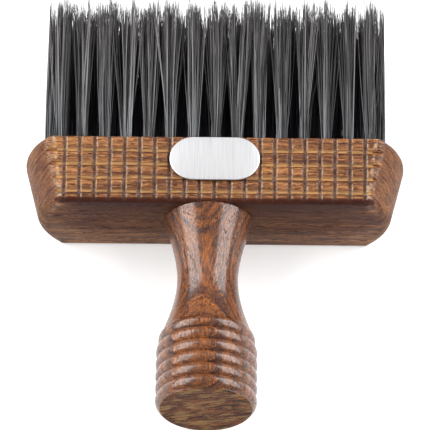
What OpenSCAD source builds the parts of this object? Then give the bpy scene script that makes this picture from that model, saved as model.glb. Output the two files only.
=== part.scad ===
// Neck duster brush, lying on its back.
// +X runs along the block, +Y towards the bristle tips and +Z out of the front face.
// The origin is the middle of the block's back face.

/* [Block] */
// Greatest length of the block, at its bristle side
block_w = 131; // [126:1:150]
// Height of the block, from the handle side to the bristle side
block_h = 25.6; // [24:0.2:32]
// Thickness of the block, from back to front
block_t = 32.4; // [31.6:0.2:36]
// Radius of the rounded ends, seen along the bristles
end_radius = 21.6; // [19:0.2:26]
// How far each end leans in from the bristle side to the handle side
end_lean = 6; // [2:0.1:7]
// Rounding of the long edges on the handle side
edge_round = 1.8; // [1:0.1:2.4]
// Rounding of the ends' edges on the handle side
foot_round = 3; // [1:0.1:4]
// Rounding of the ends' edges on the bristle side
rim_round = 4; // [1:0.1:4]

/* [Cut grid] */
// Distance between the grooves that run up and down the front face
cell_w = 5.2; // [4.6:0.1:8]
// Distance between the grooves that run along the front face
cell_h = 5.4; // [4.8:0.1:5.6]
// Width of a groove at the surface
groove_w = 1.6; // [0.8:0.1:2]
// Depth of a groove
groove_d = 0.8; // [0.4:0.1:1]

/* [Bristles] */
// Number of rows of tufts, from front to back
tuft_rows = 5; // [3:2:5]
// Tufts in the front row; the rows between hold one more
row_tufts = 15; // [9:2:15]
// Distance between tufts along a row
tuft_pitch = 7.7; // [7:0.1:7.8]
// Distance between the rows
row_gap = 6; // [5.6:0.1:6.2]
// Bore of a tuft hole
tuft_hole_d = 3.8; // [3:0.1:4]
// Depth of a tuft hole
tuft_hole_deep = 10; // [8:0.5:10]
// Diameter of a tuft at its tip
tuft_tip_d = 5.2; // [4:0.1:6]
// Length of the bristles outside the block
bristle_len = 52; // [30:1:70]

/* [Handle] */
// Length of the handle
handle_len = 73; // [72:1:90]
// Offset of the handle's axis along the block
handle_shift = -2; // [-3:0.1:3]
// Diameter of the flare that sits on the block
flare_d = 30.8; // [26:0.2:32]
// Diameter of the waist
waist_d = 21; // [16:0.2:24]
// Diameter of the ring beads at their crests
grip_d = 35; // [33:0.2:35]
// Diameter of the flat end
end_d = 32.2; // [28:0.2:32.2]
// Number of ring beads
beads = 6; // [3:1:6]
// Distance between ring beads
bead_pitch = 4.6; // [4.4:0.1:4.7]

/* [Name plate] */
// Length of the plate
plate_w = 31.2; // [20:0.1:40]
// Height of the plate
plate_h = 16.8; // [10:0.1:18]
// Thickness of the plate
plate_t = 0.6; // [0.4:0.1:1.5]
// Thickness of the adhesive pad under the plate
pad_t = 0.2; // [0.1:0.05:0.5]

/* [Hidden] */
$fn = 96;
// Clearance between a tuft and its hole, all round
tuft_play = 0.1;
// Overshoot of a cutting shape past the surface that it cuts
past = 1;

// Block
top_y = block_h / 2;
joint_y = -block_h / 2;
mid_z = block_t / 2;
lean_slope = end_lean / block_h;
// Where the leaning end meets its rim rounding, as a share of the rounding's height.
rim_meet = (sqrt(pow(lean_slope * (1 - lean_slope), 2)
        + (1 + pow(lean_slope, 2)) * (2 * lean_slope - pow(lean_slope, 2)))
    - lean_slope * (1 - lean_slope)) / (1 + pow(lean_slope, 2));
end_top_x = block_w / 2 - end_radius + lean_slope * rim_round * (1 - rim_meet);
end_low_x = end_top_x - end_lean;
lean_angle = atan(lean_slope);
bar_rim_round = 0.6;
cap_flare = end_lean + 1;

// Cut grid
face_half_w = end_top_x + sqrt(end_radius * end_radius - mid_z * mid_z);
side_grooves = floor((face_half_w - cell_w / 2) / cell_w);
long_grooves = 4;

// Bristles
half_pitch = tuft_pitch / 2;
tuft_columns = 2 * row_tufts + 1;
middle_row = (tuft_rows - 1) / 2;
tuft_root_d = tuft_hole_d - 2 * tuft_play;
tip_round = 1.2;

// Tuft anchors
anchor_w = tuft_hole_d + 0.4;
anchor_h = 2.2;
anchor_t = 0.35;
anchor_lift = 1.2;
anchor_y = top_y - tuft_hole_deep + anchor_lift + anchor_h / 2;

// Dowel screw
screw_d = 5;
screw_core_d = 3.6;
thread_pitch = 2;
block_hold = 13;
handle_hold = 27;
screw_tip = 2.5;
screw_collar = 4;
bore_play = 0.5;

// Handle: the grip's beads and the block's back face lie on one plane.
axis_z = grip_d / 2;
waist_at = 22.5;
shoulder_at = 44.6;
shoulder_d = 31.2;
flare_power = 1.65;
curve_steps = 20;
bead_round = 3.1;
last_bead = handle_len - bead_round;
first_bead = last_bead - (beads - 1) * bead_pitch;
end_chamfer = 0.6;

// Name plate
plate_drop = 0.5;
plate_y = top_y - plate_drop - plate_h / 2;
plate_bevel = 0.2;
pad_inset = 0.6;

function column_name(i) = str("tuft_column_", i < 10 ? "0" : "", i);

// Rows that have a tuft in a column: the outer and middle rows in every second column,
// and the rows between them in the others.
function rows_in(column) = [
    for (row = [0:tuft_rows - 1])
    if (row % 2 == (column % 2 == 0 ? 0 : 1)) row
];

function column_x(column) = (column - 1 - row_tufts) * half_pitch;

function row_z(row) = mid_z + (middle_row - row) * row_gap;

// Radius of the handle between the block and the first bead.
function stem_r(s) = s < waist_at
    ? waist_d / 2 + (flare_d - waist_d) / 2 * pow(1 - s / waist_at, flare_power)
    : waist_d / 2 + (shoulder_d - waist_d) / 2
        * (1 - cos(90 * (s - waist_at) / (shoulder_at - waist_at)));

// The first bead blends into the shoulder, so it stands a little lower than the others.
function bead_r(i) = grip_d / 2 - (i == 0 ? 0.8 : i == 1 ? 0.1 : 0);

// Stands a shape that is drawn along Z on the block's handle side, pointing along the handle.
module along_handle() {
    translate([handle_shift, joint_y, axis_z]) rotate([90, 0, 0]) children();
}

// Turns a shape that is drawn along Z so that it points along the bristles.
module along_bristles() {
    rotate([-90, 0, 0]) children();
}

module at_tufts(column) {
    for (row = rows_in(column)) translate([column_x(column), 0, row_z(row)]) children();
}

// The block's section across its length, drawn along X.
module block_bar() {
    rotate([90, 0, 90]) linear_extrude(height = block_w + 4, center = true) {
        translate([joint_y + edge_round, 0])
            square([block_h - edge_round - bar_rim_round, block_t]);
        translate([joint_y, edge_round]) square([edge_round, block_t - 2 * edge_round]);
        translate([top_y - bar_rim_round, bar_rim_round])
            square([bar_rim_round, block_t - 2 * bar_rim_round]);
        for (z = [edge_round, block_t - edge_round])
            translate([joint_y + edge_round, z]) circle(edge_round);
        for (z = [bar_rim_round, block_t - bar_rim_round])
            translate([top_y - bar_rim_round, z]) circle(bar_rim_round);
    }
}

// The block between the axes of its two rounded ends.
module block_core() {
    linear_extrude(height = block_t) polygon([
        [-end_low_x, joint_y], [end_low_x, joint_y],
        [end_top_x, top_y], [-end_top_x, top_y]
    ]);
}

// Rounds the edge of an end on the bristle side.
module rim_rounder() {
    translate([end_top_x, top_y, mid_z]) rotate([90, 0, 0]) rotate_extrude() {
        translate([0, rim_round]) square([end_radius, block_h]);
        square([end_radius - rim_round, block_h]);
        translate([end_radius - rim_round, rim_round]) circle(rim_round);
    }
}

// Rounds the edge of an end on the handle side, and opens out above it to clear the lean.
module foot_rounder() {
    translate([end_low_x, joint_y, mid_z]) along_bristles() rotate_extrude() {
        polygon([
            [0, 0], [end_radius - foot_round, 0], [end_radius - foot_round, foot_round],
            [end_radius, foot_round], [end_radius + cap_flare, block_h], [0, block_h]
        ]);
        translate([end_radius - foot_round, foot_round]) circle(foot_round);
    }
}

// The rounded right-hand end: a cylinder that leans in towards the handle.
module block_end() {
    intersection() {
        translate([end_top_x - end_lean / 2, 0, mid_z]) rotate([0, 0, -lean_angle])
            along_bristles()
            cylinder(r = end_radius * cos(lean_angle), h = 2 * block_h, center = true);
        rim_rounder();
        foot_rounder();
    }
}

module block_blank() {
    intersection() {
        block_bar();
        union() {
            block_core();
            block_end();
            mirror([1, 0, 0]) block_end();
        }
    }
}

module groove(length) {
    linear_extrude(height = length, center = true) polygon([
        [-groove_w / 2, 0], [0, -groove_d], [groove_w / 2, 0], [0, groove_d]
    ]);
}

module cut_grid() {
    for (i = [-side_grooves:side_grooves])
        translate([i * cell_w, 0, block_t]) rotate([90, 0, 0]) groove(block_h + 2 * past);
    for (i = [1:long_grooves])
        translate([0, top_y - i * cell_h, block_t]) rotate([90, 0, 90])
            groove(block_w + 2 * past);
}

module tuft_hole() {
    translate([0, top_y - tuft_hole_deep, 0]) along_bristles()
        cylinder(d = tuft_hole_d, h = tuft_hole_deep + past);
}

module anchor() {
    translate([0, anchor_y, 0]) cube([anchor_w, anchor_h, anchor_t], center = true);
}

module head_block() {
    color("sienna") difference() {
        block_blank();
        cut_grid();
        for (column = [1:tuft_columns]) at_tufts(column) {
            tuft_hole();
            anchor();
        }
        along_handle() translate([0, 0, -block_hold - bore_play])
            cylinder(d = screw_d, h = block_hold + bore_play + past);
    }
}

module handle() {
    color("saddlebrown") along_handle() difference() {
        rotate_extrude() {
            polygon(concat(
                [[0, 0]],
                [for (i = [0:curve_steps])
                    let (s = i * waist_at / curve_steps) [stem_r(s), s]],
                [for (i = [1:curve_steps])
                    let (s = waist_at + i * (shoulder_at - waist_at) / curve_steps)
                    [stem_r(s), s]],
                [[end_d / 2 - 1, last_bead - (beads - 1) * bead_pitch],
                 [end_d / 2, last_bead], [end_d / 2, handle_len - end_chamfer],
                 [end_d / 2 - end_chamfer, handle_len], [0, handle_len]]
            ));
            for (i = [0:beads - 1])
                translate([bead_r(i) - bead_round, first_bead + i * bead_pitch])
                    circle(bead_round);
        }
        translate([0, 0, -past])
            cylinder(d = screw_d, h = handle_hold + bore_play + past);
    }
}

// One half of the screw's outline from its collar to its point, as [radius, distance] pairs.
function thread_outline(hold) = concat(
    [for (s = [screw_collar / 2:thread_pitch:hold - screw_tip - thread_pitch])
        each [[screw_core_d / 2, s], [screw_d / 2, s + thread_pitch / 2]]],
    [[screw_core_d / 2, hold - screw_tip], [0, hold]]
);

module screw_half(hold) {
    rotate_extrude() polygon(concat([[0, 0], [screw_core_d / 2, 0]], thread_outline(hold)));
}

module dowel_screw() {
    color("silver") along_handle() {
        screw_half(handle_hold);
        mirror([0, 0, 1]) screw_half(block_hold);
    }
}

// A flat slab with full-round ends and a bevelled upper edge, centred on the plate.
module round_ended_slab(length, height, thickness, bevel) {
    end_r = height / 2;
    reach = length / 2 - end_r;
    rotate([90, 0, 90]) linear_extrude(height = 2 * reach, center = true) polygon([
        [-end_r, 0], [end_r, 0], [end_r, thickness - bevel],
        [end_r - bevel, thickness], [bevel - end_r, thickness], [-end_r, thickness - bevel]
    ]);
    for (x = [-reach, reach]) translate([x, 0, 0]) {
        cylinder(r = end_r, h = thickness - bevel);
        translate([0, 0, thickness - bevel])
            cylinder(r1 = end_r, r2 = end_r - bevel, h = bevel);
    }
}

module name_plate() {
    color("gainsboro") translate([0, plate_y, block_t + pad_t])
        round_ended_slab(plate_w, plate_h, plate_t, plate_bevel);
}

module plate_pad() {
    color("dimgray") translate([0, plate_y, block_t])
        round_ended_slab(plate_w - 2 * pad_inset, plate_h - 2 * pad_inset, pad_t, pad_t / 4);
}

module tuft_anchors() {
    color("darkgray") for (column = [1:tuft_columns]) at_tufts(column) anchor();
}

// A tuft is folded over its anchor, so it closes round the anchor at its root.
module tuft() {
    root = tuft_hole_deep - tuft_play;
    difference() {
        translate([0, top_y - root, 0]) along_bristles() {
            cylinder(d = tuft_root_d, h = root);
            translate([0, 0, root])
                cylinder(d1 = tuft_root_d, d2 = tuft_tip_d, h = bristle_len - tip_round);
            translate([0, 0, root + bristle_len - tip_round])
                cylinder(d1 = tuft_tip_d, d2 = tuft_tip_d - 2 * tip_round, h = tip_round);
        }
        anchor();
    }
}

module tuft_column(column) {
    color("dimgray") at_tufts(column) tuft();
}

head_block();
handle();
dowel_screw();
name_plate();
plate_pad();
tuft_anchors();
for (i = [1:tuft_columns])
    tuft_column(i);
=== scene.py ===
"""Looks of a neck duster brush: a grid-cut hardwood block, a turned handle, a blank steel
plate and tufts of fine bristle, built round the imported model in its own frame."""

import math

import bmesh
import bpy
import numpy as np
from bpy.props import FloatProperty, FloatVectorProperty, IntProperty, PointerProperty
from bpy.types import Operator, Panel, PropertyGroup
from mathutils import Matrix, Vector
from mathutils.geometry import delaunay_2d_cdt


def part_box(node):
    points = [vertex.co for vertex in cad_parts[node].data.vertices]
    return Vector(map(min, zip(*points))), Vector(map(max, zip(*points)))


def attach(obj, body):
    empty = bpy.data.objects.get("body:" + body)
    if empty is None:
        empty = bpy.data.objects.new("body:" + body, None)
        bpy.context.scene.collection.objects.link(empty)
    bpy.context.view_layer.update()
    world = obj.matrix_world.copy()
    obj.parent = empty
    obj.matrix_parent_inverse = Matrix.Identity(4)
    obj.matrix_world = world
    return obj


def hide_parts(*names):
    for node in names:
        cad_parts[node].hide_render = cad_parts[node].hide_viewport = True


bl_info = {
    "name": "Neck Duster Brush",
    "version": (1, 0, 0),
    "blender": (4, 5, 0),
    "location": "View3D > Sidebar > Neck Duster",
    "description": "Builds the block, handle, plate and bristle tufts of a neck duster",
    "category": "Object",
}

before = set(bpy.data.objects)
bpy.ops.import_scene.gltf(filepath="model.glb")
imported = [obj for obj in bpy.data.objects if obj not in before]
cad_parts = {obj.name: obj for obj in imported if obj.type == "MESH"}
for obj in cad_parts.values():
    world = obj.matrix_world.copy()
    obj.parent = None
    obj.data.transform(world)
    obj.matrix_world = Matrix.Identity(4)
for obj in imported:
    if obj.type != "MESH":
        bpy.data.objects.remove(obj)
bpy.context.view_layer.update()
MM = 0.001
BODY = "root"
COLUMNS = sorted(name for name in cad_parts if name.startswith("tuft_column_"))


def box_mm(node):
    """A node's lowest and highest corners, in millimetres."""
    low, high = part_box(node)
    return low / MM, high / MM


# ---------------------------------------------------------------- settings


def colour(name, description, default):
    return FloatVectorProperty(
        name=name, description=description, default=default,
        subtype="COLOR", size=3, min=0.0, max=1.0,
    )


def length(name, description, default_mm, most_mm=200.0):
    return FloatProperty(
        name=name, description=description, default=default_mm * MM,
        min=0.0, max=most_mm * MM, subtype="DISTANCE", unit="LENGTH", precision=5,
    )


class DusterBlockSettings(PropertyGroup):
    """Sizes, stain and painted shade and highlights of the block."""

    end_radius: length("End radius", "Radius of the rounded ends, seen along the bristles", 21.6)
    end_lean: length("End lean", "How far each end leans in towards the handle", 6)
    corner_round: length("Corner rounding", "Rounding between the front face and an end", 2.6)
    foot_round: length("Foot rounding", "Rounding of the long edges on the handle side", 1.8)
    end_foot_round: length("End foot rounding", "Rounding of the ends' edges on the handle side", 3)
    rim_round: length("Rim rounding", "Rounding of the ends' edges on the bristle side", 5)
    rim_break: length("Rim edge", "Rounding of the long edges on the bristle side", 0.6)
    cell_width: length("Cell width", "Distance between the upright grooves", 5.2)
    cell_height: length("Cell height", "Distance between the long grooves", 5.4)
    groove_width: length("Groove width", "Width of a groove at the surface", 1.6)
    groove_depth: length("Groove depth", "Depth of a groove", 0.76)
    cell_crown: length("Cell crown", "How far the middle of a cell stands above its edges", 0.16)
    stain_deep: colour("Deep stain", "Colour of pores and late wood", (0.020, 0.006, 0.004))
    stain_body: colour("Body stain", "Colour of most of the wood", (0.112, 0.034, 0.012))
    stain_glow: colour("Bright stain", "Colour of the early wood", (0.35, 0.148, 0.048))
    # Painted shade: a dark red mixed in under the front face, on the handle side and at the block's ends,
    # where shade falls.
    painted_shade_colour: colour("Pooled stain", "Colour where the stain has pooled", (0.040, 0.007, 0.003))
    # Painted shade: the near-black tint laid into the upright grooves, where shade falls.
    groove_shade_colour: colour("Groove tint", "Colour of the upright grooves", (0.055, 0.032, 0.028))
    # Painted highlight: a bright gold laid into the long grooves, as if they caught the light.
    groove_highlight_colour: colour("Long groove tint", "Colour of the long grooves", (0.60, 0.34, 0.140))
    # Painted highlight: a pale colour laid along one side of each upright groove and along the front
    # creases, where light would glint.
    painted_highlight_colour: colour("Edge wear", "Colour of worn edges", (0.52, 0.38, 0.26))


class DusterHandleSettings(PropertyGroup):
    """Sizes and stain of the handle."""

    flare_diameter: length("Flare", "Diameter of the flare on the block", 30.8)
    waist_diameter: length("Waist", "Diameter of the waist", 21)
    shoulder_diameter: length("Shoulder", "Diameter where the first bead starts", 31.2)
    waist_at: length("Waist position", "Distance from the block to the waist", 22.5)
    shoulder_at: length("Shoulder position", "Distance from the block to the shoulder", 44.6)
    end_diameter: length("End", "Diameter of the flat end", 32.2)
    bead_pitch: length("Bead pitch", "Distance between ring beads", 4.6)
    bead_round: length("Bead rounding", "Radius of a bead's section", 3.1)
    beads: IntProperty(name="Beads", description="Number of ring beads", default=6, min=1, max=6)
    stain_deep: colour("Deep stain", "Colour of pores and late wood", (0.012, 0.003, 0.002))
    stain_body: colour("Body stain", "Colour of most of the wood", (0.046, 0.010, 0.003))
    stain_glow: colour("Bright stain", "Colour of the early wood", (0.27, 0.084, 0.018))
    sawn_patch: colour("Sawn patch", "Colour of light patches on the end", (0.30, 0.17, 0.06))


class DusterPlateSettings(PropertyGroup):
    """Size and colour of the steel plate."""

    edge_round: length("Edge rounding", "Rounding of the plate's upper edge", 0.25)
    steel: colour("Steel", "Colour of the brushed steel", (0.76, 0.76, 0.77))


class DusterTuftSettings(PropertyGroup):
    """Number, size and colour of the bristle fibres."""

    fibres: IntProperty(name="Fibres", description="Fibres in a tuft", default=144, min=20, max=200)
    locks: IntProperty(name="Locks", description="Pointed locks in a tuft", default=9, min=1, max=30)
    strands: IntProperty(
        name="Strands", description="Fine strands in a tuft, each of a few fibres", default=48,
        min=1, max=100,
    )
    thickness: length("Thickness", "Diameter of a fibre at its root", 0.25)
    root_radius: length("Root radius", "Radius of a tuft in its hole", 1.7)
    free_length: length("Free length", "Length of the longest fibres outside the block", 61.5)
    splay: length("Splay", "How far a tuft's locks fan out at their tips", 3.5)
    seed: IntProperty(name="Seed", description="Seed of the fibres' variation", default=7, min=0)
    root_colour: colour("Root colour", "Colour of a fibre near the block", (0.27, 0.285, 0.295))
    tip_colour: colour("Tip colour", "Colour of a fibre near its tip", (0.25, 0.232, 0.243))
    # Painted shade: the near-black mixed into tufts behind the outer ones, strongest at their roots, and
    # also into every fibre's tip.
    dark_colour: colour("Dark colour", "Colour deep between the tufts", (0.005, 0.004, 0.009))


class DusterStageSettings(PropertyGroup):
    """Floor, lights and camera."""

    floor_colour: colour("Floor", "Colour of the floor", (0.78, 0.78, 0.78))
    floor_glow: FloatProperty(
        name="Floor glow", description="Light that the floor gives off, as on a light table",
        default=0.42, min=0.0,
    )
    sky: FloatProperty(name="Sky", description="Brightness of the sky", default=0.36, min=0.0)
    side_power: FloatProperty(
        name="Side lights", description="Power of each side light", default=38.0,
        min=0.0, subtype="POWER", unit="POWER",
    )
    top_power: FloatProperty(
        name="Top light", description="Power of the top light", default=1.4,
        min=0.0, subtype="POWER", unit="POWER",
    )
    elevation: FloatProperty(
        name="Elevation", description="Camera height above the horizon",
        default=math.radians(61.39), subtype="ANGLE", unit="ROTATION",
    )
    azimuth: FloatProperty(
        name="Azimuth", description="Camera turn round the brush",
        default=math.radians(0.74), subtype="ANGLE", unit="ROTATION",
    )
    roll: FloatProperty(
        name="Roll", description="Camera roll", default=math.radians(-0.08),
        subtype="ANGLE", unit="ROTATION",
    )
    distance: length("Distance", "Distance from the camera to the brush", 2600, 9000)
    view_width: length("View width", "Width that the camera sees at the brush", 149.1, 500)


# ---------------------------------------------------------------- shader maths


class Value:
    """A shader socket that takes part in Python arithmetic: each operator adds a Math node."""

    def __init__(self, finish, socket):
        self.finish = finish
        self.socket = socket

    def math(self, operation, *operands):
        inputs = dict(enumerate(operands))
        return self.finish.node("ShaderNodeMath", {"operation": operation}, inputs)

    def __add__(self, other):
        return self.math("ADD", self, other)

    def __rtruediv__(self, other):
        return self.math("DIVIDE", other, self)

    def __sub__(self, other):
        return self.math("SUBTRACT", self, other)

    def __rsub__(self, other):
        return self.math("SUBTRACT", other, self)

    def __mul__(self, other):
        return self.math("MULTIPLY", self, other)

    def __truediv__(self, other):
        return self.math("DIVIDE", self, other)

    __radd__ = __add__
    __rmul__ = __mul__

    def fraction(self):
        return self.math("FRACT", self)

    def rise(self, low, high):
        """0 below low and 1 above high, with a smooth step between."""
        return self.finish.node(
            "ShaderNodeMapRange", {"interpolation_type": "SMOOTHSTEP"},
            {"Value": self, "From Min": low, "From Max": high},
        )


class Finish:
    """A procedural material and the nodes that it is made of."""

    def __init__(self, name):
        self.material = bpy.data.materials.new(name)
        self.material.use_nodes = True
        self.tree = self.material.node_tree
        self.shader = next(n for n in self.tree.nodes if n.type == "BSDF_PRINCIPLED")

    def node(self, kind, settings=None, inputs=None, output=0):
        """Adds a node, sets it up, then gives its sockets their values or links."""
        made = self.tree.nodes.new(kind)
        for name, value in (settings or {}).items():
            setattr(made, name, value)
        for key, value in (inputs or {}).items():
            self.feed(made.inputs[key], value)
        return Value(self, made.outputs[output])

    def feed(self, socket, value):
        if isinstance(value, Value):
            self.tree.links.new(value.socket, socket)
        else:
            socket.default_value = value

    def set(self, **inputs):
        """Sets or links the shader's own sockets; underscores stand for spaces."""
        for key, value in inputs.items():
            if isinstance(value, tuple) and len(value) == 3:
                value = (*value, 1.0)
            self.feed(self.shader.inputs[key.replace("_", " ")], value)

    def place(self):
        """The point on the object, in millimetres, as separate X, Y and Z values."""
        spot = self.node("ShaderNodeTexCoord", output="Object")
        scaled = self.node("ShaderNodeVectorMath", {"operation": "SCALE"}, {0: spot, "Scale": 1 / MM})
        axes = (self.node("ShaderNodeSeparateXYZ", inputs={0: scaled}, output=i) for i in range(3))
        return tuple(axes)

    def noise(self, x, y, z, detail=2.0, roughness=0.5):
        """Noise whose grain is one unit of x, y and z."""
        spot = self.node("ShaderNodeCombineXYZ", inputs={0: x, 1: y, 2: z})
        return self.node(
            "ShaderNodeTexNoise", {"noise_dimensions": "3D"},
            {"Vector": spot, "Scale": 1.0, "Detail": detail, "Roughness": roughness},
        )

    def mix(self, first, second, factor):
        """A colour between two colours."""
        ends = {0: factor}
        for key, value in ((6, first), (7, second)):
            ends[key] = (*value, 1.0) if isinstance(value, tuple) else value
        return self.node("ShaderNodeMix", {"data_type": "RGBA"}, ends, 2)

    def bump(self, height, depth, strength=1.0):
        """A normal from a height between 0 and 1 that stands for depth in metres."""
        return self.node(
            "ShaderNodeBump", inputs={"Height": height, "Distance": depth, "Strength": strength}
        )

    def attribute(self, name):
        """The four channels of a colour that the mesh carries."""
        carried = self.node("ShaderNodeAttribute", {"attribute_name": name}, output="Color")
        alpha = Value(self, carried.socket.node.outputs["Alpha"])
        split = self.node("ShaderNodeSeparateColor", inputs={0: carried})
        return [Value(self, split.socket.node.outputs[i]) for i in range(3)] + [alpha]


def lacquered_wood(finish, grain, depth, side, ring_width, bend, look, gloss, coat, shine, blur, fade):
    """Stained ring-porous hardwood under lacquer, as the colour of the wood.

    grain, depth and side are the distances along the grain, across the growth rings and
    beside the pith, in millimetres; bend is how flat the rings are. gloss is the roughness,
    coat the share of lacquer, blur its roughness, shine how strongly the stained wood itself
    reflects and fade how much of the dark figure the stain leaves visible.
    """
    drift = finish.noise(grain * 0.018, depth * 0.07, side * 0.07) - 0.5
    ring = (depth + side * side / bend + drift * 4.0) / ring_width
    season = ring.fraction()
    early = 1.0 - season.rise(0.08, 0.5)
    late = season.rise(0.6, 0.98)
    seam = ((season - 0.5) * (season - 0.5) * 4.0).rise(0.62, 1.0)
    band = finish.noise(grain * 0.03, depth * 0.28, side * 0.2, 3.0)
    layer = finish.noise(grain * 0.05, depth * 1.1, side * 0.16, 3.0, 0.6)
    streak = finish.noise(grain * 0.2, depth * 2.2, side * 2.2, 3.0, 0.65)
    fleck = finish.noise(grain * 0.34, depth * 2.9, side * 2.9, 3.0, 0.65)
    grit = finish.noise(grain * 1.5, depth * 2.4, side * 2.4, 2.0, 0.6)
    pores = fleck.rise(0.53, 0.60) * (early * 0.7 + 0.3)
    gold = seam * (1.0 - fleck.rise(0.44, 0.52))
    tone = band.rise(0.3, 0.7) * 0.4 + streak.rise(0.3, 0.72) * 0.4 + layer.rise(0.3, 0.7) * 0.4
    tone = tone + early * 0.15 - late * 0.2 + (grit - 0.5) * 0.8
    wood = finish.mix(look["body"], look["glow"], tone.rise(0.2, 1.1))
    shade = late * 0.2 + (1.0 - streak.rise(0.2, 0.5)) * 0.4 + (1.0 - layer.rise(0.32, 0.5)) * 0.5
    wood = finish.mix(wood, look["deep"], shade * fade)
    wood = finish.mix(wood, tuple(c * 1.7 for c in look["glow"]), gold * 0.5)
    speckle = grit.rise(0.36, 0.62)
    finish.set(
        Roughness=speckle * 0.14 + pores * 0.25 + gloss,
        Normal=finish.bump(0.6 - pores * 0.5 + grit * 0.5, 0.4 * MM),
        Specular_IOR_Level=shine,
        Coat_Weight=(1.0 - pores * 0.85) * (1.0 - speckle * 0.5) * coat,
        Coat_Roughness=blur,
        Coat_IOR=1.6,
    )
    return finish.mix(wood, look["deep"], pores * 0.9)


def block_finish(settings):
    """The block's wood, with painted shade and highlights in and beside its grooves and along its
    creases, and painted shade under the front face, on the handle side and at the ends.
    """
    finish = Finish("block_wood")
    look = {key: tuple(getattr(settings, "stain_" + key)) for key in ("deep", "body", "glow")}
    x, y, z = finish.place()
    tilt = math.radians(23)
    depth = y * math.cos(tilt) - z * math.sin(tilt)
    side = (z - 16.0) * math.cos(tilt) + y * math.sin(tilt)
    # The relief attribute carries painted shade in the upright grooves, painted highlight in the long
    # grooves, painted shade on the handle side and ends, and painted highlight and shade lines.
    upright, long, painted_shade, painted_light_and_shade = finish.attribute("relief")
    # The lacquer coat is thinned where the painted shade lies.
    coat = (1.0 - painted_shade.rise(0.2, 0.5)) * 0.35
    patchy = finish.noise(x * 0.8, y * 0.8, z * 0.8).rise(0.36, 0.62)
    wood = lacquered_wood(finish, x, depth, side, 1.7, 600.0, look, 0.42, coat, 0.14, 0.17, 1.0)
    # Painted highlight in the long grooves.
    wood = finish.mix(wood, tuple(settings.groove_highlight_colour), long * 0.8)
    # Painted shade in the upright grooves.
    wood = finish.mix(wood, tuple(settings.groove_shade_colour), upright * 0.75)
    # Painted highlights beside the upright grooves and along the creases, then a painted shade line below
    # each long groove.
    wood = finish.mix(wood, tuple(settings.painted_highlight_colour), painted_light_and_shade.rise(0.55, 1.0) * patchy * 0.55)
    wood = finish.mix(wood, look["deep"], (1.0 - painted_light_and_shade.rise(0.0, 0.45)) * 0.8)
    # Painted shade under the front face, on the handle side and at the ends.
    finish.set(Base_Color=finish.mix(wood, tuple(settings.painted_shade_colour), painted_shade))
    return finish.material


def handle_finish(settings, low, centre):
    """The handle's wood, glossy but for the sawn end."""
    finish = Finish("handle_wood")
    look = {key: tuple(getattr(settings, "stain_" + key)) for key in ("deep", "body", "glow")}
    x, y, z = finish.place()
    turn = math.radians(14)
    across, out = x - centre.x, z - centre.z
    depth = out * math.cos(turn) - across * math.sin(turn) + 0.5
    side = across * math.cos(turn) + out * math.sin(turn)
    coat = y.rise(low.y + 0.1, low.y + 0.5)
    sawn = 1.0 - coat
    gloss = sawn * 0.35 + 0.22
    wood = lacquered_wood(finish, y, depth, side, 3.3, 150.0, look, gloss, coat, 0.2, 0.19, 0.85)
    patches = finish.noise(side * 0.16, depth * 0.3, 4.0, 3.0, 0.6).rise(0.46, 0.6)
    lines = finish.noise(side * 0.12, depth * 1.5, 9.0, 2.0, 0.6).rise(0.5, 0.6)
    wood = finish.mix(wood, tuple(settings.sawn_patch), sawn * patches * 0.7)
    finish.set(Base_Color=finish.mix(wood, look["deep"], sawn * lines * 0.8))
    return finish.material


def brushed_steel(name, tint, line_axis, tone=1.0):
    """Steel with fine parallel brushing along one axis (0, 1 or 2)."""
    finish = Finish(name)
    spot = finish.place()

    def lines(fineness):
        scales = [fineness] * 3
        scales[line_axis] = 0.05
        return finish.noise(*(v * s for v, s in zip(spot, scales)), 2.0, 0.7)

    fine, broad = lines(9.0), lines(2.2)
    streak = fine * 0.6 + broad * 0.4
    finish.set(
        Base_Color=finish.mix(tuple(c * 0.8 * tone for c in tint), tuple(c * tone for c in tint),
                              streak.rise(0.3, 0.6)),
        Metallic=1.0,
        Roughness=streak * 0.18 + 0.30,
        Normal=finish.bump(streak, 0.02 * MM),
    )
    return finish.material


def bristle_finish(settings):
    """Fine fibre: each one has its own tone, and darkens from its root to its tip; tufts behind the outer
    ones get painted shade, strongest near their roots.
    """
    finish = Finish("bristle_fibre")
    root, tip, dark = (tuple(getattr(settings, k + "_colour")) for k in ("root", "tip", "dark"))
    own, reach, inner, _ = finish.attribute("fibre")
    x, y, z = finish.place()
    mottle = finish.noise(x * 2.0, y * 0.25, z * 2.0)
    base = finish.mix(root, tip, reach.rise(0.05, 0.8) * 0.85 + mottle * 0.15)
    base = finish.mix(base, tuple(c * 0.06 for c in tip), own.rise(0.08, 0.64) * 0.95)
    # Painted shade on tufts behind the outer ones, fading towards their tips, and a darkening of every
    # fibre's tip.
    shade = inner * (1.0 - reach.rise(0.35, 1.0) * 0.8) + reach.rise(0.8, 1.0) * 0.4
    finish.set(
        Base_Color=finish.mix(base, dark, shade),
        Roughness=own * 0.18 + mottle * 0.1 + 0.36,
        Specular_IOR_Level=0.35,
    )
    return finish.material


def foam_finish():
    finish = Finish("pad_foam")
    x, y, z = finish.place()
    cells = finish.noise(x * 5, y * 5, z * 5, 3.0)
    finish.set(
        Base_Color=finish.mix((0.01, 0.01, 0.01), (0.05, 0.05, 0.05), cells),
        Roughness=cells * 0.2 + 0.7,
        Normal=finish.bump(cells, 0.05 * MM),
    )
    return finish.material


# ---------------------------------------------------------------- meshes


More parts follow.
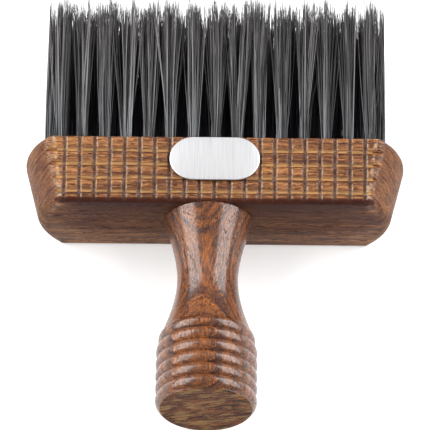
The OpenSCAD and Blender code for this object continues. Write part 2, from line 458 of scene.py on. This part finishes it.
class Skin:
    """Vertices and faces of one piece, in millimetres, gathered ring by ring."""

    def __init__(self):
        self.points = []
        self.faces = []

    def add(self, points):
        """Adds points and returns their indices."""
        start = len(self.points)
        self.points.extend(tuple(p) for p in points)
        return list(range(start, len(self.points)))

    def band(self, first, second):
        """Joins two closed rings of the same number of points."""
        count = len(first)
        for i in range(count):
            j = (i + 1) % count
            self.faces.append((first[i], first[j], second[j], second[i]))

    def fan(self, ring, centre):
        """Closes a ring to a point."""
        apex = self.add([centre])[0]
        for i in range(len(ring)):
            self.faces.append((ring[i], ring[(i + 1) % len(ring)], apex))

    def fill(self, outline, holes, flat):
        """Fills a flat outline that has round holes; flat keeps the two axes of its plane."""
        loops = [outline, *holes]
        index = [i for loop in loops for i in loop]
        spots = [Vector(flat(self.points[i])) for i in index]
        edges, start = [], 0
        for loop in loops:
            size = len(loop)
            edges += [(start + i, start + (i + 1) % size) for i in range(size)]
            start += size
        made = delaunay_2d_cdt(spots, edges, [], 0, 1e-6)
        origin = [index[found[0]] for found in made[3]]
        hole_of = {i: n for n, hole in enumerate(holes) for i in hole}
        ring = np.array([flat(self.points[i]) for i in outline])
        for triangle in made[2]:
            corners = [origin[i] for i in triangle]
            owners = {hole_of.get(i) for i in corners}
            if len(owners) == 1 and None not in owners:
                continue
            middle = np.mean([flat(self.points[i]) for i in corners], axis=0)
            if inside(middle, ring):
                self.faces.append(tuple(corners))

    def bore(self, mouth, step):
        """A blind hole behind a ring, whose bottom lies at the ring moved by step."""
        rim = np.array([self.points[i] for i in mouth])
        bottom = self.add(rim + np.array(step))
        self.band(mouth, bottom)
        self.faces.append(tuple(bottom))


def inside(spot, ring):
    """True if a point lies inside a closed outline."""
    x, y = spot
    ax, ay = ring[:, 0], ring[:, 1]
    bx, by = np.roll(ax, -1), np.roll(ay, -1)
    crosses = (ay > y) != (by > y)
    with np.errstate(divide="ignore", invalid="ignore"):
        at = ax + (y - ay) * (bx - ax) / (by - ay)
    return bool(np.count_nonzero(crosses & (x < at)) % 2)


def circle(radius, count, centre=(0.0, 0.0)):
    turn = np.arange(count) * 2 * math.pi / count
    return np.stack([centre[0] + radius * np.cos(turn), centre[1] + radius * np.sin(turn)], 1)


def finish_piece(name, skin, material, replaced, sharp=35.0):
    """Makes the object of a skin, puts it under the body and hides the parts that it replaces."""
    mesh = bpy.data.meshes.new(name)
    mesh.from_pydata([tuple(c * MM for c in p) for p in skin.points], [], skin.faces)
    work = bmesh.new()
    work.from_mesh(mesh)
    bmesh.ops.recalc_face_normals(work, faces=work.faces)
    work.to_mesh(mesh)
    work.free()
    mesh.shade_smooth()
    mesh.set_sharp_from_angle(angle=math.radians(sharp))
    return declare(name, mesh, material, replaced)


def declare(name, mesh, material, replaced):
    mesh.materials.append(material)
    piece = bpy.data.objects.new(name, mesh)
    bpy.context.scene.collection.objects.link(piece)
    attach(piece, BODY)
    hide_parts(*replaced)
    return piece


def carry_colour(mesh, name, values):
    """Stores four numbers for each vertex, which the material reads."""
    layer = mesh.color_attributes.new(name=name, type="FLOAT_COLOR", domain="POINT")
    layer.data.foreach_set("color", np.asarray(values, np.float32).ravel())


# ---------------------------------------------------------------- block


class BlockShape:
    """The block's outline, levels and cut grid, in millimetres."""

    front_steps = (0.0, 0.27, 0.54, 0.82, 1.2, 1.8, 2.6)
    # The share of the ends' lean that their front creases follow.
    crease_share = 0.5
    # How far the creases are set back from the ends, as a share of the lean.
    crease_back = 0.23

    def __init__(self, settings):
        self.low, self.high = box_mm("head_block")
        for key in ("end_radius", "end_lean", "corner_round", "foot_round", "end_foot_round",
                    "rim_round", "rim_break", "cell_width", "cell_height", "groove_width",
                    "groove_depth", "cell_crown"):
            setattr(self, key, getattr(settings, key) / MM)
        self.height = self.high.y - self.low.y
        self.thick = self.high.z - self.low.z
        half = self.thick / 2
        self.end_x = self.high.x - self.end_radius + self.rim_round * self.end_lean / self.height
        inner = self.end_radius - self.corner_round
        self.corner_x = math.sqrt(inner ** 2 - (half - self.corner_round) ** 2)
        self.corner_turn = math.asin((half - self.corner_round) / inner)
        reach = math.sqrt(self.end_radius ** 2 - half ** 2) + self.end_x
        self.side_grooves = int((reach - self.cell_width / 2) / self.cell_width)

    def steps(self, pitch):
        """Sample distances from a groove to the middle of a cell, dense on the groove."""
        scale = pitch / 2 / self.front_steps[-1]
        near = self.groove_width / 2 / self.front_steps[3]
        return [s * (near if i <= 3 else scale) for i, s in enumerate(self.front_steps)]

    def grooved(self, centres, pitch, low, high):
        """Sample positions that follow the grooves between two limits."""
        steps = self.steps(pitch)
        spots = {round(c + sign * s, 4) for c in centres for s in steps for sign in (-1, 1)}
        return sorted(s for s in spots if low < s < high)

    def outline(self, end_x):
        """Points, outward normals and end share round the block at one level, seen along Y."""
        half = self.thick / 2
        centre_z = self.low.z + half
        fixed = self.end_x - self.end_lean + self.corner_x - 1.6
        centres = [i * self.cell_width for i in range(-self.side_grooves, self.side_grooves + 1)]
        columns = self.grooved(centres, self.cell_width, -fixed, fixed)
        flat = end_x + self.corner_x
        outer = list(np.linspace(fixed, flat, 24))
        front = [-x for x in reversed(outer)] + columns + outer
        points = [(x, self.high.z, 0.0, 1.0) for x in front]
        points += self.end_curve(end_x, 1, centre_z)
        points += [(x, self.low.z, 0.0, -1.0) for x in np.linspace(flat, -flat, 61)]
        points += self.end_curve(end_x, -1, centre_z)
        return np.array(points)

    def end_curve(self, end_x, side, centre_z):
        """The right end from front to back, or the left end from back to front."""
        half = self.thick / 2
        corner = np.linspace(math.pi / 2, self.corner_turn, 10)[1:]
        main = np.linspace(self.corner_turn, -self.corner_turn, 34)[1:-1]
        corner_z = half - self.corner_round
        found = []
        for turn in corner:
            found.append((self.corner_x + self.corner_round * math.cos(turn),
                          corner_z + self.corner_round * math.sin(turn), turn))
        for turn in main:
            found.append((self.end_radius * math.cos(turn), self.end_radius * math.sin(turn), turn))
        for turn in reversed(corner):
            found.append((self.corner_x + self.corner_round * math.cos(turn),
                          -corner_z - self.corner_round * math.sin(turn), -turn))
        return [(side * (end_x + x), centre_z + side * z, side * math.cos(turn),
                 side * math.sin(turn)) for x, z, turn in found]

    def levels(self):
        """Rows of the skin from the bristle side to the handle side, as (kind, share)."""
        rim = [("rim", turn) for turn in np.linspace(0, math.pi / 2, 7)]
        foot = [("foot", turn) for turn in np.linspace(0, math.pi / 2, 9)]
        top = self.high.y - self.rim_break
        bottom = self.low.y + self.foot_round
        centres = [self.high.y - i * self.cell_height for i in range(1, 5)]
        rows = self.grooved(centres, self.cell_height, bottom + 0.1, top - 0.1)
        side = [("side", (top - y) / (top - bottom)) for y in reversed(rows)]
        return rim + side + foot

    def ring(self, kind, share):
        """One level of the skin, before the grid is cut."""
        rows = []
        facing = abs(self.outline(self.end_x)[:, 2])
        ends = facing ** 2.4
        rim = self.rim_break + (self.rim_round - self.rim_break) * ends
        foot = self.foot_round + (self.end_foot_round - self.foot_round) * ends
        top, bottom = self.high.y - rim, self.low.y + foot
        if kind == "rim":
            y, inset = top + rim * math.cos(share), rim * (1 - math.sin(share))
        elif kind == "side":
            y, inset = top + (bottom - top) * share, 0.0 * rim
        else:
            y, inset = bottom - foot * math.sin(share), foot * (1 - math.cos(share))
        lean = self.end_lean * (self.high.y - y) / self.height
        straight = self.outline(self.end_x)
        leaned = self.outline(self.end_x - self.end_lean)
        follow = self.crease_share + (1 - self.crease_share) * facing
        middle = 0.5 + self.crease_back * (1 - facing)
        mix = (middle + (lean / self.end_lean - 0.5) * follow)[:, None]
        line = straight * (1 - mix) + leaned * mix
        rows = np.stack([line[:, 0] - line[:, 2] * inset, y, line[:, 1] - line[:, 3] * inset], 1)
        return rows

    def cut(self, points):
        """Cuts the grid into a ring of points, and returns it with the painted shade and highlights of
        its grooves, creases, ends and handle side.
        """
        x, y, z = points[:, 0], points[:, 1], points[:, 2]
        half_w = self.groove_width / 2
        sway_x = 0.07 * np.sin(y * 0.55 + np.round(x / self.cell_width) * 2.4)
        sway_y = 0.07 * np.sin(x * 0.16 + np.round(y / self.cell_height) * 1.7)
        column = np.clip(np.round(x / self.cell_width), -self.side_grooves, self.side_grooves)
        from_x = x - column * self.cell_width + sway_x
        row = np.clip(np.round((self.high.y - y) / self.cell_height), 1, 4)
        from_y = self.high.y - y - row * self.cell_height + sway_y
        off_x, off_y = np.abs(from_x), np.abs(from_y)
        near = np.minimum(off_x, off_y)
        valley_x, valley_y = (np.clip(1 - off / half_w, 0, 1) for off in (off_x, off_y))
        valley = np.maximum(valley_x, valley_y)
        depth = self.groove_depth * valley ** 0.85
        cell = np.clip((near - half_w) / (self.cell_width / 2 - half_w), 0, 1)
        crown = self.cell_crown * (1 - cell) ** 2.2
        surface = self.high.z - depth - crown
        facing = z > self.high.z - self.groove_depth - 0.4
        new_z = np.where(facing, np.minimum(z, surface), z)
        front = np.clip((z - self.high.z + 0.5) / 0.4, 0, 1)
        inside_x = np.abs(x) < (self.side_grooves + 0.5) * self.cell_width
        # Painted highlight along one side of each upright groove, and a painted shade line below each
        # long groove.
        light = np.exp(-((from_x - half_w) / 0.3) ** 2) * inside_x
        dark = np.exp(-((from_y - half_w) / 0.34) ** 2) * (1 - valley_x)
        # Painted highlight in each long groove, a little off its middle.
        groove_highlight = np.exp(-((from_y + 0.22) / 0.4) ** 2) * (1 - valley_x)
        # Painted shade on the rounding between the front face and the handle side, and weaker on the
        # handle side itself.
        low = np.clip((self.low.y + self.foot_round * 1.05 - y) / 0.5, 0, 1)
        under = np.clip((self.low.y + 0.3 - y) / 0.3, 0, 1)
        painted_shade = 0.93 * low * np.clip((z - self.high.z + 2.6) / 0.8, 0, 1)
        painted_shade = np.maximum(painted_shade, 0.14 * under)
        # Painted shade on the block's ends, beyond the front creases.
        lean = 0.5 + self.crease_back + ((self.high.y - y) / self.height - 0.5) * self.crease_share
        crease = np.abs(x) - (self.end_x - lean * self.end_lean + self.corner_x)
        painted_shade = np.maximum(painted_shade, 0.4 * np.clip((crease - 1.2) / 3.0, 0, 1))
        # Painted highlight along the front creases, where the cell rows end.
        painted_highlight = np.exp(-((crease - 0.5) / 0.8) ** 2) * (1 - valley_y) * (z > self.high.z - 1.6)
        painted_light_and_shade = 0.5 + 0.5 * np.clip((light - dark) * front + painted_highlight, -1, 1)
        cut = np.stack([x, y, new_z], 1)
        groove_highlight = groove_highlight * inside_x
        # How far into an upright groove a point lies, which the material turns into painted shade.
        dark_x = valley_x ** 0.45 * inside_x
        return cut, np.stack([dark_x * front, groove_highlight * front, painted_shade, painted_light_and_shade], 1)


def build_block(settings, tuft_spots, tuft_hole, screw_hole):
    shape = BlockShape(settings)
    skin = Skin()
    carried, rings = [], []
    for kind, share in shape.levels():
        points, relief = shape.cut(shape.ring(kind, share))
        rings.append(skin.add(points))
        carried.append(relief)
    for first, second in zip(rings, rings[1:]):
        skin.band(first, second)

    def flat(point):
        return point[0], point[2]

    radius, deep = tuft_hole
    mouths = []
    for spot in tuft_spots:
        mouths.append(skin.add([(x, shape.high.y, z) for x, z in circle(radius, 18, spot)]))
    skin.fill(rings[0], mouths, flat)
    for mouth in mouths:
        skin.bore(mouth, (0.0, -deep, 0.0))
    spot, radius, deep = screw_hole
    mouth = skin.add([(x, shape.low.y, z) for x, z in circle(radius, 32, spot)])
    skin.fill(rings[-1], [mouth], flat)
    skin.bore(mouth, (0.0, deep, 0.0))

    material = block_finish(settings)
    piece = finish_piece("block", skin, material, ["head_block"], 32.0)
    values = np.zeros((len(skin.points), 4), np.float32)
    # Painted shade on the flat faces at the bristle and handle sides and in the holes, with no painted
    # lines.
    values[len(rings) * len(rings[0]):, 2:] = 0.22, 0.5
    relief = np.concatenate(carried)
    values[:len(relief)] = relief
    carry_colour(piece.data, "relief", values)
    return piece


# ---------------------------------------------------------------- handle


class HandleShape:
    """The handle's outline as (distance from the block, radius) pairs, in millimetres."""

    def __init__(self, settings):
        self.low, self.high = box_mm("handle")
        self.s = settings
        self.length = self.high.y - self.low.y
        self.grip = (self.high.z - self.low.z) / 2
        self.centre = (self.low + self.high) / 2

    def size(self, key):
        return getattr(self.s, key) / MM

    def stem(self, at):
        waist_at, shoulder_at = self.size("waist_at"), self.size("shoulder_at")
        waist = self.size("waist_diameter") / 2
        if at < waist_at:
            rise = self.size("flare_diameter") / 2 - waist
            return waist + rise * (1 - at / waist_at) ** 1.65
        share = (at - waist_at) / (shoulder_at - waist_at)
        return waist + (self.size("shoulder_diameter") / 2 - waist) * (1 - math.cos(share * math.pi / 2))

    def bead(self, number):
        """Centre distance and crest radius of a bead."""
        last = self.length - self.size("bead_round")
        at = last - (self.s.beads - 1 - number) * self.size("bead_pitch")
        return at, self.grip - (0.8, 0.1, 0, 0, 0, 0)[number]

    def outline(self, bore_radius, bore_depth):
        round_r = self.size("bead_round")
        shoulder_at = self.size("shoulder_at")
        end_r = self.size("end_diameter") / 2
        line = [(bore_depth, bore_radius), (0.0, bore_radius), (0.0, self.stem(0) - 0.35)]
        line += [(0.12, self.stem(0) - 0.08)]
        line += [(s, self.stem(s)) for s in np.linspace(0.45, shoulder_at, 62)]
        half = math.asin(self.size("bead_pitch") / 2 / round_r)
        for number in range(self.s.beads):
            at, crest = self.bead(number)
            first = -half if number else -math.acos((self.stem(shoulder_at) - crest + round_r) / round_r)
            last = half
            if number == self.s.beads - 1:
                last = math.acos((end_r - crest + round_r) / round_r)
            turns = np.linspace(first, last, 17)[1:]
            line += [(at + round_r * math.sin(t), crest - round_r + round_r * math.cos(t)) for t in turns]
        chamfer = 0.6
        bend = np.linspace(0, math.pi / 2, 6)
        line += [(self.length - chamfer + chamfer * math.sin(t),
                  end_r - chamfer + chamfer * math.cos(t)) for t in bend]
        line += [(self.length, end_r * share) for share in (0.9, 0.75, 0.5, 0.25)]
        return line


def build_handle(settings, screw_radius, screw_depth):
    shape = HandleShape(settings)
    skin = Skin()
    segments = 144
    rings = []
    for at, radius in shape.outline(screw_radius, screw_depth):
        around = circle(radius, segments, (shape.centre.x, shape.centre.z))
        rings.append(skin.add([(x, shape.high.y - at, z) for x, z in around]))
    for first, second in zip(rings, rings[1:]):
        skin.band(first, second)
    skin.fan(rings[0], (shape.centre.x, shape.high.y - screw_depth, shape.centre.z))
    skin.fan(rings[-1], (shape.centre.x, shape.high.y - shape.length, shape.centre.z))
    material = handle_finish(settings, shape.low, shape.centre)
    return finish_piece("turned_handle", skin, material, ["handle"], 42.0)


# ---------------------------------------------------------------- plate


def build_plate(settings):
    """A thin plate with full-round ends and a softly rounded upper edge."""
    low, high = box_mm("name_plate")
    middle = (low + high) / 2
    end_r = (high.y - low.y) / 2
    reach = (high.x - low.x) / 2 - end_r
    edge = settings.edge_round / MM
    turns = np.linspace(-math.pi / 2, math.pi / 2, 41)
    straight = np.linspace(-reach, reach, 14)[1:-1]

    def outline(inset):
        radius = end_r - inset
        right = [(reach + radius * math.cos(t), radius * math.sin(t)) for t in turns]
        top = [(x, radius) for x in straight[::-1]]
        left = [(-reach - radius * math.cos(t), -radius * math.sin(t)) for t in turns]
        bottom = [(x, -radius) for x in straight]
        return right + top + left + bottom

    bend = np.linspace(0, math.pi / 2, 6)
    levels = [(low.z, 0.0)]
    levels += [(high.z - edge + edge * math.sin(t), edge * (1 - math.cos(t))) for t in bend]
    skin = Skin()
    rings = []
    for z, inset in levels:
        rings.append(skin.add([(middle.x + x, middle.y + y, z) for x, y in outline(inset)]))
    for first, second in zip(rings, rings[1:]):
        skin.band(first, second)
    for ring in (rings[0], rings[-1]):
        skin.fill(ring, [], lambda p: (p[0], p[1]))
    steel = brushed_steel("plate_steel", tuple(settings.steel), 1)
    return finish_piece("steel_plate", skin, steel, ["name_plate"], 50.0)


# ---------------------------------------------------------------- tufts


class TuftField:
    """Places of the tufts, read from the boxes of their CAD columns."""

    def __init__(self):
        self.mouth_y = box_mm("head_block")[1].y
        boxes = [box_mm(name) for name in COLUMNS]
        self.root_y = boxes[0][0].y
        tip = (boxes[0][1].x - boxes[0][0].x) / 2
        depths = [(low.z + tip, high.z - tip) for low, high in boxes]
        low_z, high_z = min(d[0] for d in depths), max(d[1] for d in depths)
        row_gap = min(d[0] for d in depths if d[0] > low_z + 1) - low_z
        self.columns = []
        for (low, high), (back, front) in zip(boxes, depths):
            x = (low.x + high.x) / 2
            rows = round((front - back) / (2 * row_gap)) + 1
            self.columns.append([(x, back + 2 * row_gap * i) for i in range(rows)])
        self.half_width = max(abs(spot[0]) for column in self.columns for spot in column)
        self.middle_z = (low_z + high_z) / 2
        self.half_depth = (high_z - low_z) / 2

        self.gaps = abs(self.columns[1][0][0] - self.columns[0][0][0]), row_gap

    def spots(self):
        return [spot for column in self.columns for spot in column]

    def inner(self, spot):
        """0 for a tuft on the rim of the field, 1 for a tuft behind one."""
        to_side = (self.half_width - abs(spot[0])) / self.gaps[0]
        to_face = (self.half_depth - abs(spot[1] - self.middle_z)) / self.gaps[1]
        return min(1.0, to_side, to_face)


def tuft_paths(spot, field, s, random):
    """Centre lines of a tuft's fibres: an array of fibre, step and X, Y, Z in millimetres."""
    count, locks, strands = s.fibres, s.locks, s.strands
    root_r, splay = s.root_radius / MM, s.splay / MM
    free = s.free_length / MM
    turn = random.uniform(0, 2 * math.pi, strands)
    out = root_r * np.sqrt(random.uniform(0, 1, strands))
    strand_root = np.stack([out * np.cos(turn), out * np.sin(turn)], 1)

    lock_turn = np.arange(locks) * 2.39996 + random.uniform(0, 6.28)
    lock_out = np.sqrt((np.arange(locks) + 0.5) / locks)
    lock_root = root_r * np.stack([lock_out * np.cos(lock_turn), lock_out * np.sin(lock_turn)], 1)
    gap = np.linalg.norm(strand_root[:, None] - lock_root[None], axis=2)
    lock = np.argmin(gap + random.uniform(0, 0.9, gap.shape), axis=1)
    lock_tip = lock_root / root_r * splay + random.normal(0, 1.1, (locks, 2))
    lock_length = free - np.abs(random.normal(0, 3.2, locks))
    scatter = random.normal(0, 1.0, (strands, 2)) * 0.75
    stray = random.uniform(0, 1, strands) > 0.88
    scatter[stray] *= 3.6

    strand = np.arange(count) % strands
    loose = random.normal(0, 0.16, (count, 2))
    single = random.uniform(0, 1, count) > 0.9
    loose[single] *= 9.0
    root = strand_root[strand] + random.normal(0, 0.1, (count, 2))
    tip = (lock_tip[lock] + scatter)[strand] + loose
    away = np.linalg.norm(scatter[strand] + loose, axis=1)
    long = lock_length[lock[strand]] - np.minimum(away * 2.2, 5.5)
    long -= np.abs(random.normal(0, 1.7, strands))[strand] + np.abs(random.normal(0, 0.9, count))

    reach = np.array([0.0, 0.1, 0.25, 0.42, 0.6, 0.76, 0.89, 1.0])
    bow = random.normal(0, 0.4, (strands, 1, 2))[strand] * np.sin(reach * math.pi)[None, :, None]
    hook = random.normal(0, 0.3, (count, 1, 2)) * (reach ** 4)[None, :, None]
    ease = (reach ** 1.12)[None, :, None]
    side = root[:, None] + (tip - root)[:, None] * ease + bow + hook
    paths = np.empty((count, len(reach), 3))
    start = field.mouth_y - 2.5
    paths[:, :, 0] = spot[0] + side[:, :, 0]
    paths[:, :, 1] = start + (field.mouth_y + long - start)[:, None] * reach
    paths[:, :, 2] = spot[1] + side[:, :, 1]

    edge_x = field.half_width + root_r - 0.9 * reach
    edge_z = field.half_depth + root_r + 2.4 * reach
    fold = squeeze(paths[:, :, 0], edge_x)
    paths[:, :, 0] = fold
    paths[:, :, 2] = field.middle_z + squeeze(paths[:, :, 2] - field.middle_z, edge_z)
    tone = random.uniform(0, 1, strands)[strand] * 0.62 + random.uniform(0, 1, count) * 0.38
    return paths, reach, tone, np.full(count, field.inner(spot))


def squeeze(value, limit):
    """Holds a distance within a limit, with what passes it pressed softly back inside."""
    over = np.abs(value) - (limit - 1.6)
    pressed = np.where(over > 0, over - 1.6 * np.tanh(over / 1.6), 0.0)
    return value - np.sign(value) * pressed


def fibre_mesh(name, paths, reach, tone, inner, thickness, random):
    """One mesh of closed, tapering, three-sided fibres along the given paths."""
    count, steps = paths.shape[:2]
    taper = np.interp(reach, [0.0, 0.55, 0.85, 1.0], [1.0, 0.95, 0.72, 0.28])
    radius = thickness / 2 * taper[None, :] * random.uniform(0.8, 1.15, count)[:, None]
    turn = random.uniform(0, 2 * math.pi, count)[:, None] + np.arange(3) * 2 * math.pi / 3
    ring = np.stack([np.cos(turn), 0 * turn, np.sin(turn)], 2)
    skin = paths[:, :, None, :] + ring[:, None] * radius[:, :, None, None]
    points = skin.reshape(-1, 3) * MM
    base = (np.arange(count) * steps * 3)[:, None, None]
    step = (np.arange(steps - 1) * 3)[None, :, None]
    k = np.arange(3)[None, None, :]
    j = (k + 1) % 3
    quads = np.stack([base + step + k, base + step + j, base + step + 3 + j, base + step + 3 + k], -1)
    quads = quads.reshape(-1, 4)
    first = np.arange(count)[:, None] * steps * 3 + np.array([0, 2, 1])
    last = np.arange(count)[:, None] * steps * 3 + (steps - 1) * 3 + np.array([0, 1, 2])
    caps = np.concatenate([first, last])
    corners = np.concatenate([quads.ravel(), caps.ravel()]).astype(np.int32)
    sizes = np.concatenate([np.full(len(quads), 4), np.full(len(caps), 3)]).astype(np.int32)
    starts = np.concatenate([[0], np.cumsum(sizes)[:-1]]).astype(np.int32)

    mesh = bpy.data.meshes.new(name)
    mesh.vertices.add(len(points))
    mesh.vertices.foreach_set("co", points.astype(np.float32).ravel())
    mesh.loops.add(len(corners))
    mesh.loops.foreach_set("vertex_index", corners)
    mesh.polygons.add(len(sizes))
    mesh.polygons.foreach_set("loop_start", starts)
    mesh.update(calc_edges=True)
    mesh.validate()
    mesh.shade_smooth()
    # deep is how far behind the outer tufts a tuft stands, which the material turns into painted shade.
    own, deep = (np.repeat(v, steps * 3) for v in (tone, inner))
    along = np.tile(np.repeat(reach, 3), count)
    carry_colour(mesh, "fibre", np.stack([own, along, deep, np.ones_like(own)], 1))
    return mesh


def build_tufts(settings, field):
    material = bristle_finish(settings)
    made = []
    for number, (name, column) in enumerate(zip(COLUMNS, field.columns)):
        random = np.random.default_rng(settings.seed * 1000 + number)
        groups = [tuft_paths(spot, field, settings, random) for spot in column]
        paths, tone, inner = (np.concatenate([g[i] for g in groups]) for i in (0, 2, 3))
        piece_name = name.replace("tuft_column", "bristles")
        mesh = fibre_mesh(
            piece_name, paths, groups[0][1], tone, inner, settings.thickness / MM, random
        )
        made.append(declare(piece_name, mesh, material, [name]))
    return made


# ---------------------------------------------------------------- operators


class DUSTER_OT_block(Operator):
    """Build the block with its cut grid, tuft holes and screw hole"""

    bl_idname = "duster.block"
    bl_label = "Block"

    def execute(self, context):
        field = TuftField()
        low, high = box_mm("dowel_screw")
        handle_low, handle_high = box_mm("handle")
        centre = (handle_low + handle_high) / 2
        screw = ((centre.x, centre.z), (high.x - low.x) / 2, high.y - handle_high.y + 0.5)
        hole = (1.9, field.mouth_y - field.root_y + 0.1)
        build_block(context.scene.duster_block, field.spots(), hole, screw)
        return {"FINISHED"}


class DUSTER_OT_handle(Operator):
    """Build the turned handle with its ring beads"""

    bl_idname = "duster.handle"
    bl_label = "Handle"

    def execute(self, context):
        low, high = box_mm("dowel_screw")
        top = box_mm("handle")[1].y
        build_handle(context.scene.duster_handle, (high.x - low.x) / 2, top - low.y + 0.5)
        return {"FINISHED"}


class DUSTER_OT_plate(Operator):
    """Build the blank brushed steel plate"""

    bl_idname = "duster.plate"
    bl_label = "Plate"

    def execute(self, context):
        build_plate(context.scene.duster_plate)
        return {"FINISHED"}


class DUSTER_OT_tufts(Operator):
    """Build the bristle fibres of every tuft"""

    bl_idname = "duster.tufts"
    bl_label = "Bristle tufts"

    def execute(self, context):
        if not COLUMNS:
            raise RuntimeError("the frame has no tuft columns")
        build_tufts(context.scene.duster_tufts, TuftField())
        return {"FINISHED"}


class DUSTER_OT_fixings(Operator):
    """Finish the dowel screw, the tuft anchors and the plate's adhesive pad"""

    bl_idname = "duster.fixings"
    bl_label = "Fixings"

    def execute(self, context):
        finishes = {
            "dowel_screw": brushed_steel("screw_steel", (0.62, 0.61, 0.6), 0),
            "tuft_anchors": brushed_steel("anchor_metal", (0.7, 0.71, 0.72), 1),
            "plate_pad": foam_finish(),
        }
        for node, material in finishes.items():
            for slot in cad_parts[node].material_slots:
                slot.material = material
        return {"FINISHED"}


class DUSTER_OT_stage(Operator):
    """Set up the floor, the lights and the camera"""

    bl_idname = "duster.stage"
    bl_label = "Stage"

    def execute(self, context):
        s = context.scene.duster_stage
        set_floor(s)
        set_lights(s)
        set_camera(s)
        context.scene.view_settings.view_transform = "Standard"
        return {"FINISHED"}


def set_floor(s):
    """A pale floor that the brush lies on."""
    reach = 6.0
    mesh = bpy.data.meshes.new("floor")
    corners = [(-reach, -reach, 0), (reach, -reach, 0), (reach, reach, 0), (-reach, reach, 0)]
    mesh.from_pydata(corners, [], [(0, 1, 2, 3)])
    floor = bpy.data.objects.new("floor", mesh)
    finish = Finish("floor_paint")
    finish.set(
        Base_Color=tuple(s.floor_colour), Roughness=0.9,
        Emission_Color=(1.0, 1.0, 1.0), Emission_Strength=s.floor_glow,
    )
    mesh.materials.append(finish.material)
    bpy.context.scene.collection.objects.link(floor)


def set_lights(s):
    """A white sky, a soft light on each side and a weaker one above."""
    world = bpy.data.worlds.new("sky")
    world.use_nodes = True
    background = next(n for n in world.node_tree.nodes if n.type == "BACKGROUND")
    background.inputs["Color"].default_value = (1.0, 1.0, 1.0, 1.0)
    background.inputs["Strength"].default_value = s.sky
    bpy.context.scene.world = world
    lights = (
        ("left_light", (-1.10, 0.36, 0.82), (1.9, 1.15), s.side_power),
        ("right_light", (1.10, 0.36, 0.82), (1.9, 1.15), s.side_power),
        ("top_light", (0.0, 0.9, 1.7), (0.9, 0.9), s.top_power),
    )
    for name, spot, size, power in lights:
        data = bpy.data.lights.new(name, "AREA")
        data.shape = "RECTANGLE"
        data.size, data.size_y = size
        data.energy = power
        light = bpy.data.objects.new(name, data)
        light.location = spot
        light.rotation_euler = (-Vector(spot)).to_track_quat("-Z", "Y").to_euler()
        bpy.context.scene.collection.objects.link(light)


def set_camera(s):
    """A long lens above the handle's end."""
    target = Vector((0.00024, -0.00965, 0.017))
    back = Vector((
        math.sin(s.azimuth) * math.cos(s.elevation),
        -math.cos(s.azimuth) * math.cos(s.elevation),
        math.sin(s.elevation),
    ))
    data = bpy.data.cameras.new("camera")
    data.sensor_width = 36.0
    data.lens = data.sensor_width * s.distance / s.view_width
    data.clip_start, data.clip_end = 0.1, 50.0
    camera = bpy.data.objects.new("camera", data)
    facing = (-back).to_track_quat("-Z", "Y").to_matrix().to_4x4()
    spin = Matrix.Rotation(s.roll, 4, "Z")
    camera.matrix_world = Matrix.Translation(target + back * s.distance) @ facing @ spin
    bpy.context.scene.collection.objects.link(camera)
    bpy.context.scene.camera = camera


# ---------------------------------------------------------------- add-on


class DUSTER_PT_brush(Panel):
    """The brush's operators and settings"""

    bl_label = "Neck Duster"
    bl_idname = "DUSTER_PT_brush"
    bl_space_type = "VIEW_3D"
    bl_region_type = "UI"
    bl_category = "Neck Duster"

    def draw(self, context):
        for operator, group in STEPS:
            box = self.layout.box()
            box.operator(operator.bl_idname)
            if group:
                settings = getattr(context.scene, group)
                for name in settings.__annotations__:
                    box.prop(settings, name)


GROUPS = {
    "duster_block": DusterBlockSettings,
    "duster_handle": DusterHandleSettings,
    "duster_plate": DusterPlateSettings,
    "duster_tufts": DusterTuftSettings,
    "duster_stage": DusterStageSettings,
}
STEPS = (
    (DUSTER_OT_block, "duster_block"),
    (DUSTER_OT_handle, "duster_handle"),
    (DUSTER_OT_plate, "duster_plate"),
    (DUSTER_OT_tufts, "duster_tufts"),
    (DUSTER_OT_fixings, None),
    (DUSTER_OT_stage, "duster_stage"),
)
CLASSES = (*GROUPS.values(), *(operator for operator, group in STEPS), DUSTER_PT_brush)


def register():
    for item in CLASSES:
        bpy.utils.register_class(item)
    for name, group in GROUPS.items():
        setattr(bpy.types.Scene, name, PointerProperty(type=group))


def unregister():
    for name in GROUPS:
        delattr(bpy.types.Scene, name)
    for item in reversed(CLASSES):
        bpy.utils.unregister_class(item)


def main():
    register()
    bpy.ops.duster.block()
    bpy.ops.duster.handle()
    bpy.ops.duster.plate()
    bpy.ops.duster.tufts()
    bpy.ops.duster.fixings()
    bpy.ops.duster.stage()
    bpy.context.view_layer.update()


if __name__ == "__main__":
    main()
